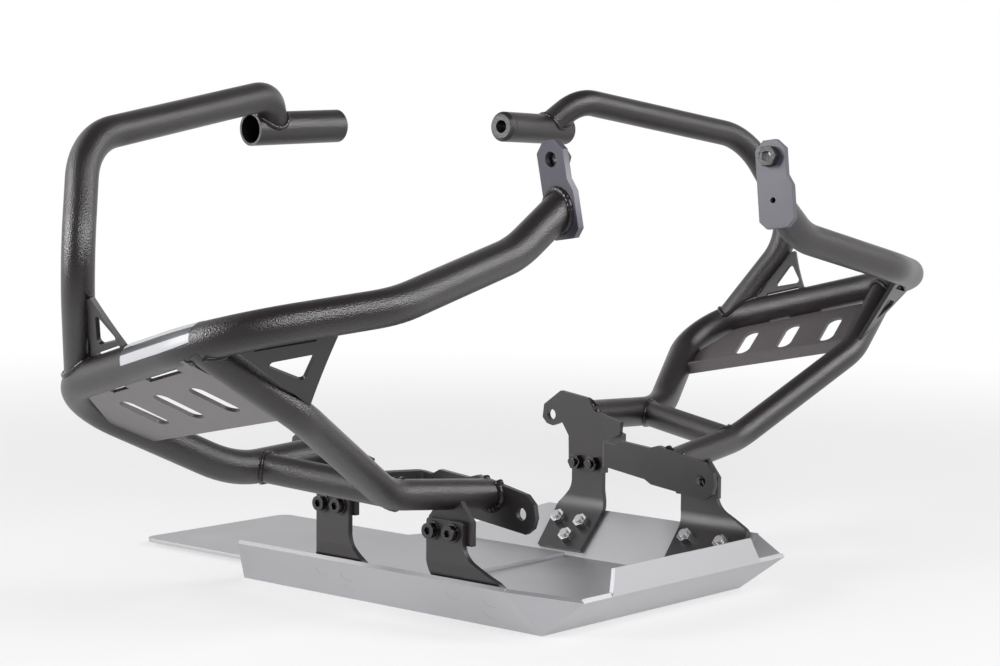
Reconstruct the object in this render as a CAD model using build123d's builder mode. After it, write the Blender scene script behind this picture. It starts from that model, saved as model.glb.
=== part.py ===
"""Motorcycle crash bars with their skid plate.

Two mirror-image welded tube bars stand over a folded aluminium skid pan. Each bar has two
mount plates for the frame, and two hangers that carry the pan's sloped side flange.

Millimetres. X runs across the motorcycle with the symmetry plane at X = 0, +Y is the front,
+Z is up, and the pan's bottom lies on Z = 0. Each bar is drawn on the +X side and mirrored.
"""
import os
from math import atan, cos, degrees, radians, sin, sqrt, tan

from build123d import *

# Tubes
main_diameter = 28.6
loop_diameter = 25.4
diagonal_diameter = 25.4
cross_diameter = 25.0
stub_diameter = 28.6
tube_wall = 2.3
main_bend = 80.0
nose_bend = 55.0
loop_bend = 62.0
loop_tail_bend = 34.0
diagonal_bend = 60.0
run_out = 22.0

# Corners of the tube centre lines, where the straight runs would meet
mount_end = (148, -272.5, 349)
main_front_knee = (197, -269, 315)
main_side_knee = (341, -278, 282)
main_shoulder = (470.5, -226, 265)
main_nose = (424, 17, 202.5)
main_elbow = (286, -44, 130)
bracket_end = (169.5, -42, 135)
loop_foot = (427, -22.5, 211)
loop_belly = (474, -77, 306)
loop_crown = (435, -38, 401)
loop_tail = (207, 0, 437)
loop_seat = (183, 19.3, 412)
stub_outer = (208.5, 20.6, 408)
stub_inner = (115, 15, 411)
diagonal_top = (462, -195.6, 256.7)
diagonal_knee = (373, -213, 197)
diagonal_elbow = (239, -172, 119)
diagonal_end = (124, -182, 108)
cross_front = (260, -44.5, 131)
cross_rear = (226, -173, 118)

# Stub plug
plug_head = 7.0
plug_spigot = 12.0
plug_chamfer = 3.0
plug_bore = 12.0

# Upper mount plate
mount_half_width = 15.0
mount_rear_width = 20.0
mount_above_tube = 54.0
mount_below_tube = 25.0
mount_thickness = 6.0
mount_top_chamfer = 8.5
mount_foot_chamfer = 7.0
mount_step = (12.0, 22.0)
mount_hole = 12.5
mount_hole_drop = 15.0
mount_vent = 5.0
mount_yaw = 6.0
mount_lean = 8.0
mount_tip = 5.0

# Lower mount bracket, one folded plate
bracket_thickness = 5.0
bracket_bend = 4.0
outer_leaf_x = 169.5
inner_leaf_x = 124.0
fold_front_y = -92.0
fold_rear_y = -102.5
bracket_hole = 10.5
front_hole = (-2.5, 132.5)
rear_hole = (-216.5, 95.0)
bracket_outline = [
    (8.7, 129), (7, 142), (-13.5, 156.7), (-47.8, 152.2), (-55.7, 140.4), (-88, 132.5), (-87, 122.5),
    (-104, 119.5), (-116, 118), (-124.5, 122.5), (-157, 119.5), (-167.5, 122.5), (-187, 118.5),
    (-222, 111.5), (-230, 104), (-232, 93), (-229, 84), (-221.5, 78.5), (-201, 81), (-160, 86),
    (-152.5, 90), (-110.5, 96), (-70, 97), (-70, 82), (-30, 82), (-25, 87), (-24.3, 114),
    (-15.9, 126.4), (-10.9, 124.2), (-4.2, 121.8), (3.3, 123.5),
]

# Rear hanger tab under the diagonal tube
tab_bottom = 72.0
tab_front_y = -155.0
tab_rear_y = -203.0
tab_shoulder = 92.0
tab_neck = 22.0

# Guard plate under the main tube's outer run, in its own plane: along its free edge, then outwards
guard_thickness = 3.0
guard_lip = 12.0
guard_rear_corner = (376, -180, 192)
guard_front_corner = (356, -18, 159)
guard_below_tube = 12.0
guard_rear = -32.0
guard_slot_length = 44.0
guard_slot_width = 16.0
guard_slot_places = ((10, 44), (58, 44), (106, 44))
guard_slot_angle = 88.0
guard_gap = 5.0
guard_gap_places = ((-10, 38), (72, 96))

# Gussets, each in the plane of its two tubes: along the one, then square to it
gusset_thickness = 4.0
gusset_corner = 3.0
gusset_gap = 4.5
loop_gusset_tip = (82.0, 60.0)
loop_gusset_waist = (85.5, 37.0)
loop_gusset_toe = 96.0
loop_gusset_hole = ((77, 48), (56, 24.5), (87, 23))
loop_gusset_slot = (48.0, 85.0)
side_gusset_tip = 101.0
side_gusset_waist = (88.0, 47.0)
side_gusset_toe = (81.0, 80.0)
side_gusset_hole = ((37, 32), (80, 31), (73, 55))
side_gusset_slot = (30.0, 79.0)

# Hangers between the bars and the pan; the radii round the corners of each outline in order
hanger_thickness = 5.0
hanger_bend = 24.0
hanger_radii = (3.0, 20.0, 8.0, 0.0, 0.0, 8.0, 20.0, 3.0)
front_hanger_top = 100.0
rear_hanger_top = 92.0
hanger_foot_z = 9.0
front_bolts = ((-36, 90), (-56, 90))
rear_bolts = ((-164, 82), (-186, 82))
right_front_hanger_outline = [
    (-25, front_hanger_top), (-25, 64), (-9, 46), (-14, 0), (-66, 0), (-66, 46), (-63, 64),
    (-63, front_hanger_top),
]
left_front_hanger_outline = [
    (-28, front_hanger_top), (-28, 46), (-12, 34), (-14, 0), (-66, 0), (-82, 42), (-67, 60),
    (-67, front_hanger_top),
]
rear_hanger_outline = [
    (-157, rear_hanger_top), (-157, 56), (-160, 40), (-163, 0), (-224, 0), (-238, 44), (-197, 64),
    (-197, rear_hanger_top),
]

# Skid pan
pan_thickness = 4.0
pan_half_width = 138.0
flange_top_x = 178.4
flange_top_z = 41.4
pan_rear_y = -250.0
flange_rear_y = -243.0
ramp_top_y = -296.0
ramp_top_z = 34.0
ramp_half_width = 140.5
wing_foot_half = 104.0
wing_top_half = 95.0
wing_top_z = 56.0
wing_lean = 5.0
pan_front_y = 126.0
right_flange_front = (126.0, 6.0)
left_flange_front = (105.0, 70.0)

# Front sheet, on the floor of the pan
sheet_thickness = 4.0
sheet_rear_y = -52.0
sheet_side_gap = 8.0
sheet_shoulder_y = 120.0
sheet_shoulder_drop = 12.0
tongue_half_width = 95.0
tongue_front_y = 296.0
tongue_corner = 12.0

# Fasteners
bolt_diameter = 8.0
bolt_clearance = 0.5
bolt_head = 13.0
bolt_head_height = 5.0
socket_across = 6.0
socket_depth = 3.0
washer_diameter = 16.0
washer_thickness = 1.6
nut_across = 13.0
nut_height = 6.5
thread_show = 3.0
thread_clearance = 0.1
mount_nut_across = 17.0
mount_nut_height = 8.0
mount_nut_bore = 8.5
stud_head = 12.0
stud_head_depth = 1.5
front_studs = ((-22, 27), (-51, 26), (-43, 13.3))
rear_studs = ((-175, 27), (-216, 26.2), (-205, 13.3))


def line_on(start, end, distance):
    """Point on the straight line from start to end, at a distance from end."""
    tip = Vector(*end)
    return tip + (tip - Vector(*start)).normalized() * distance


def plane_of(origin, along, third):
    """Plane through three points, with its X axis from the first to the second."""
    first = Vector(*along) - Vector(*origin)
    second = Vector(*third) - Vector(*origin)
    return Plane(origin=origin, x_dir=first, z_dir=first.cross(second))


def tube(route, bends, diameter, wall=0.0):
    """Round tube along straight runs joined by bends, filled where it has no wall."""
    with BuildPart() as made:
        with BuildLine() as axis:
            if len(route) > 2:
                FilletPolyline(*route, radius=bends)
            else:
                Line(*route)
        with BuildSketch(Plane(origin=axis.line @ 0, z_dir=axis.line % 0)):
            Circle(diameter / 2)
            if wall:
                Circle(diameter / 2 - wall, mode=Mode.SUBTRACT)
        sweep(path=axis.line)
    return made.part


def cope(piece, *cutters):
    """Cut the cutters out of a piece and keep its main solid."""
    with BuildPart() as cut:
        add(piece)
        for cutter in cutters:
            add(cutter, mode=Mode.SUBTRACT)
    with BuildPart() as kept:
        add(cut.solids().sort_by(SortBy.VOLUME)[-1])
    return kept.part


def trim(piece, plane):
    """Cut a piece off at a plane and keep what lies on the side of its normal."""
    with BuildPart() as made:
        add(piece)
        split(bisect_by=plane, keep=Keep.TOP)
    return made.part


def drawn_on(plane, corners):
    """Corners in space, dropped square onto a plane, in that plane's own two directions."""
    places = [plane.to_local_coords(Vector(*corner)) for corner in corners]
    return [(place.X, place.Y) for place in places]


# Upper mount plate, square to no axis: turned, tipped and leant as the frame lug asks
mount_normal = Vector(
    cos(radians(mount_yaw)) * cos(radians(mount_tip)),
    sin(radians(mount_yaw)) * cos(radians(mount_tip)),
    -sin(radians(mount_tip)),
)
mount_side = Vector(-sin(radians(mount_yaw)), cos(radians(mount_yaw)), -sin(radians(mount_lean)))
mount_plane = Plane(origin=mount_end, x_dir=mount_side, z_dir=mount_normal)
mount_face = mount_plane.offset(mount_thickness / 2)
mount_hole_y = mount_above_tube - mount_hole_drop
with BuildPart() as mount_plate:
    with BuildSketch(mount_plane):
        with BuildLine():
            Polyline(
                (mount_half_width, mount_above_tube),
                (mount_half_width, -mount_below_tube),
                (-mount_rear_width, -mount_below_tube),
                (-mount_rear_width, mount_step[0]),
                (-mount_half_width, mount_step[1]),
                (-mount_half_width, mount_above_tube),
                close=True,
            )
        make_face()
        chamfer(vertices().group_by(Axis.Y)[-1], mount_top_chamfer)
        chamfer(vertices().group_by(Axis.Y)[0], mount_foot_chamfer)
        with Locations((0, mount_hole_y)):
            Circle(mount_hole / 2, mode=Mode.SUBTRACT)
        Circle(mount_vent / 2, mode=Mode.SUBTRACT)
    extrude(amount=mount_thickness / 2, both=True)

# Nut welded on the plate's inner face
with BuildPart() as mount_nut:
    with BuildSketch(mount_plane.offset(-mount_thickness / 2)):
        with Locations((0, mount_hole_y)):
            RegularPolygon(mount_nut_across / 2, 6, major_radius=False)
            Circle(mount_nut_bore / 2, mode=Mode.SUBTRACT)
    extrude(amount=-mount_nut_height)

# Main tube, from the upper mount plate round the outside to the lower bracket
bracket_face = Plane.YZ.offset(outer_leaf_x + bracket_thickness / 2)
with BuildPart() as leaf_block:
    with BuildSketch(bracket_face):
        with Locations(bracket_end[1:]):
            Circle(main_diameter)
    extrude(amount=-2 * run_out)
main_route = [
    line_on(main_front_knee, mount_end, run_out),
    main_front_knee,
    main_side_knee,
    main_shoulder,
    main_nose,
    main_elbow,
    line_on(main_elbow, bracket_end, run_out),
]
main_bends = [main_bend, main_bend, main_bend, nose_bend, main_bend]
main_core = tube(main_route, main_bends, main_diameter)
main_tube = trim(tube(main_route, main_bends, main_diameter, tube_wall), mount_face)
main_tube = cope(main_tube, leaf_block.part)

# Stub with its threaded plug
stub_core = tube([stub_outer, stub_inner], 0, stub_diameter)
stub_tube = tube([stub_outer, stub_inner], 0, stub_diameter, tube_wall)
plug_plane = Plane(origin=stub_inner, z_dir=Vector(*stub_inner) - Vector(*stub_outer))
with BuildPart() as stub_plug:
    with BuildSketch(plug_plane):
        Circle(stub_diameter / 2)
    extrude(amount=plug_head)
    chamfer(faces().sort_by(Axis(stub_inner, plug_plane.z_dir))[-1].edges(), plug_chamfer)
    with BuildSketch(plug_plane):
        Circle(stub_diameter / 2 - tube_wall)
    extrude(amount=-plug_spigot)
    with BuildSketch(plug_plane.offset(plug_head)):
        Circle(plug_bore / 2)
    extrude(amount=-plug_head - plug_spigot, mode=Mode.SUBTRACT)

# Upper loop tube, from the main tube's nose up and over to the stub
loop_route = [loop_foot, loop_belly, loop_crown, loop_tail, loop_seat]
loop_bends = [loop_bend, loop_bend, loop_tail_bend]
loop_core = tube(loop_route, loop_bends, loop_diameter)
loop_tube = cope(tube(loop_route, loop_bends, loop_diameter, tube_wall), main_core, stub_core)

# Diagonal tube, from under the shoulder to the lower bracket
diagonal_face = Plane.YZ.offset(inner_leaf_x + bracket_thickness / 2)
diagonal_route = [diagonal_top, diagonal_knee, diagonal_elbow, line_on(diagonal_elbow, diagonal_end, run_out)]
diagonal_core = tube(diagonal_route, diagonal_bend, diagonal_diameter)
diagonal_tube = tube(diagonal_route, diagonal_bend, diagonal_diameter, tube_wall)
diagonal_tube = cope(trim(diagonal_tube, diagonal_face), main_core)

# Cross tube between the main tube's elbow and the diagonal tube
cross_route = [cross_front, cross_rear]
cross_tube = cope(tube(cross_route, 0, cross_diameter, tube_wall), main_core, diagonal_core)

# Lower mount bracket: front leaf outboard, rear leaf inboard, a web across between them
leaf_front = max(y for y, z in bracket_outline)
leaf_rear = min(y for y, z in bracket_outline)
leaf_top = max(z for y, z in bracket_outline)
with BuildPart() as lower_bracket:
    with BuildSketch(Plane.XY):
        with BuildLine():
            FilletPolyline(
                (outer_leaf_x, leaf_front),
                (outer_leaf_x, fold_front_y),
                (inner_leaf_x, fold_rear_y),
                (inner_leaf_x, leaf_rear),
                radius=bracket_bend + bracket_thickness / 2,
            )
        trace(line_width=bracket_thickness)
    extrude(amount=leaf_top)
    with BuildSketch(Plane.YZ):
        with BuildLine():
            Polyline(*bracket_outline, close=True)
        make_face()
        with Locations(front_hole, rear_hole):
            Circle(bracket_hole / 2, mode=Mode.SUBTRACT)
        with Locations(*front_bolts):
            Circle((bolt_diameter + bolt_clearance) / 2, mode=Mode.SUBTRACT)
    extrude(amount=outer_leaf_x + bracket_thickness, mode=Mode.INTERSECT)

# Rear hanger tab, welded under the diagonal tube
leaf_inner_face = Plane.YZ.offset(outer_leaf_x - bracket_thickness / 2)
tab_middle = (tab_front_y + tab_rear_y) / 2
tab_top = diagonal_end[2]
with BuildPart() as tab_blank:
    with BuildSketch(leaf_inner_face):
        with BuildLine():
            Polyline(
                (tab_front_y, tab_bottom),
                (tab_front_y, tab_shoulder),
                (tab_middle + tab_neck / 2, tab_top),
                (tab_middle - tab_neck / 2, tab_top),
                (tab_rear_y, tab_shoulder),
                (tab_rear_y, tab_bottom),
                close=True,
            )
        make_face()
        with Locations(*rear_bolts):
            Circle((bolt_diameter + bolt_clearance) / 2, mode=Mode.SUBTRACT)
    extrude(amount=bracket_thickness)
rear_tab = cope(tab_blank.part, diagonal_core)

# Guard plate between the main tube's outer run, its nose and the diagonal tube
shoulder = Vector(*main_shoulder)
nose = Vector(*main_nose)
elbow = Vector(*main_elbow)
guard_middle = (shoulder + nose) * 0.5 - Vector(0, 0, guard_below_tube)
guard_plane = plane_of(guard_rear_corner, guard_front_corner, tuple(guard_middle))
nose_tangent = nose_bend * tan(radians((nose - shoulder).get_angle(elbow - nose) / 2))
run_start, run_end, nose_end, elbow_end = drawn_on(guard_plane, [
    main_shoulder,
    tuple(nose + (shoulder - nose).normalized() * nose_tangent),
    tuple(nose + (elbow - nose).normalized() * nose_tangent),
    main_elbow,
])
run_fall = (run_end[1] - run_start[1]) / (run_end[0] - run_start[0])
edge_front = nose_end[0] + nose_end[1] * (elbow_end[0] - nose_end[0]) / (nose_end[1] - elbow_end[1])
run_cut = sqrt((main_diameter / 2) ** 2 - guard_below_tube ** 2)
with BuildPart() as guard_blank:
    with BuildSketch(guard_plane):
        with BuildLine():
            Polyline(
                (guard_rear, 0),
                (guard_rear, run_start[1] + run_fall * (guard_rear - run_start[0])),
                run_end,
                nose_end,
                (edge_front, 0),
                close=True,
            )
        make_face()
        with Locations(*guard_slot_places):
            SlotOverall(guard_slot_length, guard_slot_width, rotation=guard_slot_angle, mode=Mode.SUBTRACT)
        for gap_rear, gap_front in guard_gap_places:
            middle = (gap_rear + gap_front) / 2
            with Locations((middle, run_start[1] + run_fall * (middle - run_start[0]))):
                Rectangle(
                    gap_front - gap_rear,
                    2 * (run_cut + guard_gap),
                    rotation=degrees(atan(run_fall)),
                    mode=Mode.SUBTRACT,
                )
    extrude(amount=guard_thickness / 2, both=True)
    with BuildSketch(guard_plane.offset(guard_thickness / 2)):
        with BuildLine():
            Polyline(
                (guard_rear, 0),
                (guard_rear, guard_thickness),
                (edge_front, guard_thickness),
                (edge_front, 0),
                close=True,
            )
        make_face()
    extrude(amount=-guard_lip)
guard_plate = cope(guard_blank.part, main_core, diagonal_core)


def gusset(plane, outline, waist, hole, slot, slot_top):
    """Plate between two tubes with a hollowed free edge, a lightening hole and a gap along one tube.

    The outline starts at the meeting of the tubes and ends with the two ends of the free edge.
    """
    with BuildPart() as made:
        with BuildSketch(plane):
            with BuildLine():
                Polyline(*outline)
                ThreePointArc(outline[-1], waist, outline[0])
            make_face()
            with BuildLine():
                FilletPolyline(*hole, close=True, radius=gusset_corner)
            make_face(mode=Mode.SUBTRACT)
            with Locations(((slot[0] + slot[1]) / 2, 0)):
                Rectangle(slot[1] - slot[0], 2 * slot_top, mode=Mode.SUBTRACT)
        extrude(amount=gusset_thickness / 2, both=True)
    return made.part


# Gusset in the corner of the loop's leg and the main tube's outer run
loop_leg = Vector(*loop_belly) - Vector(*loop_foot)
loop_gusset_plane = Plane(origin=loop_foot, x_dir=shoulder - nose, z_dir=(shoulder - nose).cross(loop_leg))
leg_u, leg_v = drawn_on(loop_gusset_plane, [loop_belly])[0]
loop_gusset_top = loop_gusset_tip[1]
loop_gusset = cope(
    gusset(
        loop_gusset_plane,
        [loop_gusset_tip, (loop_gusset_top * leg_u / leg_v, loop_gusset_top), (0, 0), (loop_gusset_toe, 0)],
        loop_gusset_waist,
        loop_gusset_hole,
        loop_gusset_slot,
        main_diameter / 2 + gusset_gap,
    ),
    main_core,
    loop_core,
)

# Gusset in the corner of the main tube's side run and the diagonal tube
side_run = Vector(*main_side_knee) - shoulder
side_drop = Vector(*diagonal_knee) - shoulder
side_gusset_plane = Plane(origin=main_shoulder, x_dir=side_run, z_dir=side_run.cross(side_drop))
side_gusset = cope(
    gusset(
        side_gusset_plane,
        [side_gusset_toe, (0, 0), (side_gusset_tip, 0)],
        side_gusset_waist,
        side_gusset_hole,
        side_gusset_slot,
        main_diameter / 2 + gusset_gap,
    ),
    main_core,
    diagonal_core,
)

# Skid pan: each panel is drawn on the outside of the sheet and thickened inwards
flange_run = Vector(flange_top_x - pan_half_width, 0, flange_top_z).normalized()
flange_inward = Vector(-flange_run.Z, 0, flange_run.X)
pan_inside = Vector(0, (pan_rear_y + pan_front_y) / 2, pan_half_width)


def panel(corners, thickness):
    """Flat sheet panel on its outside corners, thickened towards the inside of the pan."""
    plane = plane_of(*corners[:3])
    if plane.z_dir.dot(pan_inside - plane.origin) < 0:
        plane = plane_of(corners[1], corners[0], corners[2])
    with BuildPart() as made:
        with BuildSketch(plane):
            with BuildLine():
                Polyline(*drawn_on(plane, corners), close=True)
            make_face()
        extrude(amount=thickness)
    return made.part


def flange_corners(side, front):
    """Corners of a side flange, with the front end's places at the fold and at the top."""
    return [
        (side * pan_half_width, pan_rear_y, 0),
        (side * pan_half_width, front[0], 0),
        (side * flange_top_x, front[1], flange_top_z),
        (side * flange_top_x, flange_rear_y, flange_top_z),
    ]


def stud_plane(side, place):
    """Plane on the outside of a side flange at a stud, with its Z axis into the pan."""
    y, z = place
    x = pan_half_width + z * (flange_top_x - pan_half_width) / flange_top_z
    return Plane(origin=(side * x, y, z), z_dir=(side * flange_inward.X, 0, flange_inward.Z))


floor_corners = [
    (-pan_half_width, pan_rear_y, 0), (pan_half_width, pan_rear_y, 0),
    (pan_half_width, pan_front_y, 0), (-pan_half_width, left_flange_front[0], 0),
]
ramp_corners = [
    (-pan_half_width, pan_rear_y, 0), (pan_half_width, pan_rear_y, 0),
    (ramp_half_width, ramp_top_y, ramp_top_z), (-ramp_half_width, ramp_top_y, ramp_top_z),
]
wing_corners = [
    (-wing_foot_half, ramp_top_y, ramp_top_z), (wing_foot_half, ramp_top_y, ramp_top_z),
    (wing_top_half, ramp_top_y + wing_lean, wing_top_z), (-wing_top_half, ramp_top_y + wing_lean, wing_top_z),
]
with BuildPart() as skid_pan:
    add(panel(floor_corners, pan_thickness))
    add(panel(ramp_corners, pan_thickness))
    add(panel(wing_corners, pan_thickness))
    for side, front in ((1, right_flange_front), (-1, left_flange_front)):
        add(panel(flange_corners(side, front), pan_thickness))
        corner_facet = [
            (side * pan_half_width, pan_rear_y, 0),
            (side * ramp_half_width, ramp_top_y, ramp_top_z),
            (side * flange_top_x, flange_rear_y, flange_top_z),
        ]
        add(panel(corner_facet, pan_thickness))
        for place in front_studs + rear_studs:
            with BuildSketch(stud_plane(side, place)):
                Circle(stud_head / 2)
            extrude(amount=stud_head_depth, mode=Mode.SUBTRACT)
            with BuildSketch(stud_plane(side, place)):
                Circle(bolt_diameter / 2)
            extrude(amount=pan_thickness, mode=Mode.SUBTRACT)

sheet_half_width = pan_half_width - sheet_side_gap
with BuildPart() as front_sheet:
    with BuildSketch(Plane.XY.offset(pan_thickness)):
        with BuildLine():
            Polyline(
                (0, sheet_rear_y),
                (sheet_half_width, sheet_rear_y),
                (sheet_half_width, sheet_shoulder_y - sheet_shoulder_drop),
                (tongue_half_width, sheet_shoulder_y),
                (tongue_half_width, tongue_front_y),
                (0, tongue_front_y),
                close=True,
            )
        make_face()
        mirror(about=Plane.YZ)
        fillet(vertices().group_by(Axis.Y)[-1], tongue_corner)
    extrude(amount=sheet_thickness)

# Hangers: bolted outside the leaf or tab, with a foot on the inside of the sloped flange
hanger_x = outer_leaf_x + (bracket_thickness + hanger_thickness) / 2
foot_offset = pan_thickness + hanger_thickness / 2
foot_start = Vector(pan_half_width, 0, 0) + flange_inward * foot_offset
hanger_knee = foot_start + flange_run * ((hanger_x - foot_start.X) / flange_run.X)
hanger_toe = foot_start + flange_run * ((hanger_foot_z - foot_start.Z) / flange_run.Z)


def hanger(top, outline, bolts, studs):
    """Strip that drops from the bolts and bends in along the flange, cut to its side outline."""
    front = max(y for y, z in outline)
    rear = min(y for y, z in outline)
    with BuildPart() as made:
        with BuildSketch(Plane.XZ.offset(-front)):
            with BuildLine():
                FilletPolyline(
                    (hanger_x, top),
                    (hanger_knee.X, hanger_knee.Z),
                    (hanger_toe.X, hanger_toe.Z),
                    radius=hanger_bend + hanger_thickness / 2,
                )
            trace(line_width=hanger_thickness)
        extrude(amount=front - rear)
        with BuildSketch(Plane.YZ):
            with BuildLine():
                FilletPolyline(*outline, close=True, radius=hanger_radii)
            make_face()
            with Locations(*bolts):
                Circle((bolt_diameter + bolt_clearance) / 2, mode=Mode.SUBTRACT)
        extrude(amount=2 * hanger_x, mode=Mode.INTERSECT)
        for place in studs:
            with BuildSketch(stud_plane(1, place)):
                Circle((bolt_diameter + bolt_clearance) / 2)
            extrude(amount=pan_thickness + 2 * hanger_thickness, mode=Mode.SUBTRACT)
    return made.part


right_front_hanger = hanger(front_hanger_top, right_front_hanger_outline, front_bolts, front_studs)
left_front_hanger = hanger(front_hanger_top, left_front_hanger_outline, front_bolts, front_studs)
rear_hanger = hanger(rear_hanger_top, rear_hanger_outline, rear_bolts, rear_studs)

# Fasteners, one node for each kind and side
washer_x = hanger_x + hanger_thickness / 2
head_x = washer_x + washer_thickness
leaf_x = outer_leaf_x - bracket_thickness / 2
bolt_places = front_bolts + rear_bolts
with BuildPart() as hanger_bolts:
    with BuildSketch(Plane.YZ.offset(head_x)):
        with Locations(*bolt_places):
            Circle(bolt_head / 2)
    extrude(amount=bolt_head_height)
    with BuildSketch(Plane.YZ.offset(head_x)):
        with Locations(*bolt_places):
            Circle(bolt_diameter / 2)
    extrude(amount=leaf_x - nut_height - thread_show - head_x)
    with BuildSketch(Plane.YZ.offset(head_x + bolt_head_height)):
        with Locations(*bolt_places):
            RegularPolygon(socket_across / 2, 6, major_radius=False)
    extrude(amount=-socket_depth, mode=Mode.SUBTRACT)

with BuildPart() as hanger_washers:
    with BuildSketch(Plane.YZ.offset(washer_x)):
        with Locations(*bolt_places):
            Circle(washer_diameter / 2)
            Circle((bolt_diameter + bolt_clearance) / 2, mode=Mode.SUBTRACT)
    extrude(amount=washer_thickness)

with BuildPart() as hanger_nuts:
    with BuildSketch(Plane.YZ.offset(leaf_x)):
        with Locations(*bolt_places):
            RegularPolygon(nut_across / 2, 6, major_radius=False)
            Circle((bolt_diameter + thread_clearance) / 2, mode=Mode.SUBTRACT)
    extrude(amount=-nut_height)

stud_seat = pan_thickness + hanger_thickness
with BuildPart() as flange_studs:
    for place in front_studs + rear_studs:
        with BuildSketch(stud_plane(1, place)):
            Circle(stud_head / 2)
        extrude(amount=stud_head_depth)
        with BuildSketch(stud_plane(1, place)):
            Circle(bolt_diameter / 2)
        extrude(amount=stud_seat + nut_height + thread_show)

with BuildPart() as stud_nuts:
    for place in front_studs + rear_studs:
        with BuildSketch(stud_plane(1, place).offset(stud_seat)):
            RegularPolygon(nut_across / 2, 6, major_radius=False)
            Circle((bolt_diameter + thread_clearance) / 2, mode=Mode.SUBTRACT)
        extrude(amount=nut_height)

os.makedirs("parts", exist_ok=True)
bar_pieces = {
    "main_tube": main_tube,
    "upper_loop_tube": loop_tube,
    "stub_tube": stub_tube,
    "stub_plug": stub_plug.part,
    "diagonal_tube": diagonal_tube,
    "cross_tube": cross_tube,
    "upper_mount_plate": mount_plate.part,
    "mount_nut": mount_nut.part,
    "lower_mount_bracket": lower_bracket.part,
    "rear_hanger_tab": rear_tab,
    "guard_plate": guard_plate,
    "loop_gusset": loop_gusset,
    "side_gusset": side_gusset,
    "front_hanger": right_front_hanger,
    "rear_hanger": rear_hanger,
    "hanger_bolts": hanger_bolts.part,
    "hanger_washers": hanger_washers.part,
    "hanger_nuts": hanger_nuts.part,
    "flange_studs": flange_studs.part,
    "stud_nuts": stud_nuts.part,
}
unlike_on_left = {"front_hanger": left_front_hanger}
for name, piece in bar_pieces.items():
    left_piece = mirror(unlike_on_left.get(name, piece), about=Plane.YZ)
    for side, shape in (("right", piece), ("left", left_piece)):
        shape.label = f"{side}_{name}"
        export_step(shape, f"parts/{side}_{name}.step")
for name, piece in (("skid_pan", skid_pan.part), ("skid_front_sheet", front_sheet.part)):
    piece.label = name
    export_step(piece, f"parts/{name}.step")
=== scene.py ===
"""Looks of the motorcycle crash bars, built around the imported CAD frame.

The frame is loaded first and is never moved. Around it come weld beads, plates and fasteners with
rounded edges, a blank label, the finishes, a pale floor, soft studio light and the camera.
Blender's lengths are metres. A size whose name ends in _mm is in millimetres, and an angle whose
name ends in _deg is in degrees.
"""
from __future__ import annotations

import logging
import math
from dataclasses import dataclass
from enum import Enum

import bmesh
import bpy
from mathutils import Matrix, Vector

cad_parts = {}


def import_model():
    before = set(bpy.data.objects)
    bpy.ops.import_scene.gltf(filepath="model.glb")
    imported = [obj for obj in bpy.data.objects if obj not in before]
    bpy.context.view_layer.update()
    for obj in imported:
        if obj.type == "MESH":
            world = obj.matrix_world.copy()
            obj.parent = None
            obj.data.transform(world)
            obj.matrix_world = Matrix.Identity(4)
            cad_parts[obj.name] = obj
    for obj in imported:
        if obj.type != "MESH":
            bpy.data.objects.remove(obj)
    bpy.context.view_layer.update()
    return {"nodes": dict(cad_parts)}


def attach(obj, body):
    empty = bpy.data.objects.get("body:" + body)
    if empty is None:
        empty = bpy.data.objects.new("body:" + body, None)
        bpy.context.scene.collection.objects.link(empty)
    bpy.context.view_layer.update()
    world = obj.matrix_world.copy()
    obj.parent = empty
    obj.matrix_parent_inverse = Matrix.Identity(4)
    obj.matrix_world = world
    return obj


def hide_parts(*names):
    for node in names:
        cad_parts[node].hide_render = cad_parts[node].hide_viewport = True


log = logging.getLogger("crash_bars")

MM = 0.001
BODY = "root"
Point = tuple[float, float, float]
Span = tuple[float, float]

# The Mix node's colour sockets go by number, because its other sockets share their names
MIX_SHARE, MIX_FIRST, MIX_SECOND, MIX_RESULT = 0, 6, 7, 2
# Noise rarely leaves this range, so a roughness that drifts with it is spread over it
NOISE_LOW, NOISE_HIGH = 0.3, 0.7
# The bump of a thin skin shows at half its full strength
SKIN_BUMP = 0.5
WHITE = (1.0, 1.0, 1.0, 1.0)


class Side(Enum):
    """The two bars. The right one is drawn, and the left one is its mirror image."""

    RIGHT = 1
    LEFT = -1

    def node(self, name: str) -> str:
        """Name of this bar's CAD node."""
        return f"{self.name.lower()}_{name}"

    def place(self, point_mm: Point) -> Vector:
        """Place of a point of the right bar, in millimetres, on this bar, in metres."""
        x, y, z = point_mm
        return Vector((self.value * x, y, z)) * MM


class Tube(Enum):
    """Outside diameters of the tubes, in millimetres."""

    MAIN = 28.6
    LOOP = 25.4
    CROSS = 25.0


# Corners of the right bar's tube centre lines, in millimetres, as in the part's source
MOUNT_END: Point = (148, -272.5, 349)
MAIN_FRONT_KNEE: Point = (197, -269, 315)
MAIN_SIDE_KNEE: Point = (341, -278, 282)
MAIN_SHOULDER: Point = (470.5, -226, 265)
MAIN_NOSE: Point = (424, 17, 202.5)
MAIN_ELBOW: Point = (286, -44, 130)
BRACKET_END: Point = (169.5, -42, 135)
LOOP_FOOT: Point = (427, -22.5, 211)
LOOP_BELLY: Point = (474, -77, 306)
LOOP_TAIL: Point = (207, 0, 437)
LOOP_SEAT: Point = (183, 19.3, 412)
DIAGONAL_TOP: Point = (462, -195.6, 256.7)
DIAGONAL_KNEE: Point = (373, -213, 197)
DIAGONAL_ELBOW: Point = (239, -172, 119)
DIAGONAL_END: Point = (124, -182, 108)
CROSS_FRONT: Point = (260, -44.5, 131)
CROSS_REAR: Point = (226, -173, 118)


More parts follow.
